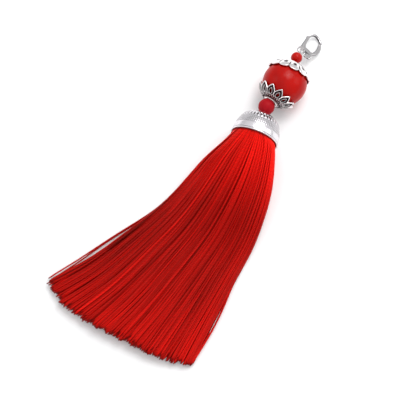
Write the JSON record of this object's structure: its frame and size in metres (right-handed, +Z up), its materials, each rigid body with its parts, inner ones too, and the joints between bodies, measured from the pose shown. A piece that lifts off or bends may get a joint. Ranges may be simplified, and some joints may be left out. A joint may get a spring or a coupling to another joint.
{
  "type": "silk tassel charm with beads and lobster clasp",
  "caption": "Fanned silk tassel under a domed metal cap, with strung beads, petalled bead caps and a lobster clasp, lying flat.",
  "frame": {"origin": "on the surface that the charm lies on, under the middle of its box", "axes": "+Y along the tassel cap's axis, from the fringe to the clasp; +Z up from the surface"},
  "size_m": [0.064, 0.1336, 0.0173],
  "materials": {
    "silk": "lustrous twisted silk cord",
    "bright_silver": "polished silver plate",
    "antique_silver": "antiqued silver plate, dark in the recesses",
    "gloss_bead": "polished red",
    "satin_bead": "satin crimson"
  },
  "bodies": {
    "charm": {"tassel_fringe": "silk", "tassel_cap": "bright_silver", "small_bead_lower": "satin_bead", "bead_cap_lower": "antique_silver", "big_bead": "gloss_bead", "bead_cap_upper": "antique_silver", "small_bead_upper": "gloss_bead", "eye_pin": "bright_silver", "clasp_body": "bright_silver"},
    "gate": {"clasp_gate": "bright_silver"}
  },
  "joints": [
    {"name": "gate_hinge", "type": "hinge", "parent": "charm", "child": "gate", "pos_m": [0.02581, 0.05788, 0.00337], "axis": [0.4216, 0.2123, 0.8816], "range_deg": [0, 25], "stiffness_Nm_per_rad": 0.002, "springref_deg": -17.19}
  ]
}
